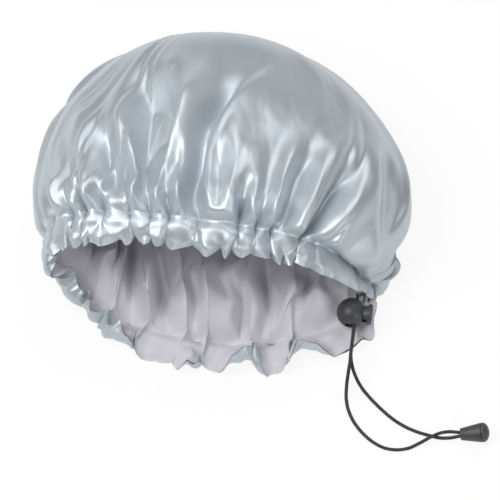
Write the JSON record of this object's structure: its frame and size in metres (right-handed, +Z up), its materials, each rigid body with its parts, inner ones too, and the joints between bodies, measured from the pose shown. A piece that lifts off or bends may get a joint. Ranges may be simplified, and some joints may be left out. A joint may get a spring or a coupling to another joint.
{
  "type": "shower cap",
  "caption": "Gathered satin shower cap with a sewn-in lining and an elastic drawcord round its hem, adjusted by a sprung ball cord lock and ended by a bell-shaped cord end.",
  "frame": {"origin": "on the floor under the middle of the cap's box, without the free cord tails", "axes": "+Z up, opening toward -Y, crown toward +Y, cord lock on the +X side"},
  "size_m": [0.3161, 0.3025, 0.1263],
  "materials": {
    "satin": "satin",
    "lining": "matte",
    "elastic_cord": "matte",
    "grey_plastic": "satin",
    "spring_steel": "polished"
  },
  "bodies": {
    "cap": {"satin_panel": "satin", "lining_panel": "lining", "drawcord": "elastic_cord", "cord_tail_upper": "elastic_cord", "cord_tail_lower": "elastic_cord", "cord_knot": "elastic_cord", "bell_shell": "grey_plastic", "bell_lid": "grey_plastic"},
    "cord_lock": {"lock_barrel": "grey_plastic", "lock_spring": "spring_steel"},
    "plunger": {"lock_plunger": "grey_plastic"}
  },
  "joints": [
    {"name": "lock_slide", "type": "slide", "parent": "cap", "child": "cord_lock", "axis": [-0.1207, -0.9829, -0.1392], "range_m": [0, 0.018]},
    {"name": "plunger_press", "type": "slide", "parent": "cord_lock", "child": "plunger", "axis": [-0.9925, 0.1219, 0], "range_m": [0, 0.003], "stiffness_N_per_m": 800, "springref_m": -0.002, "deforming": ["lock_spring"]}
  ]
}
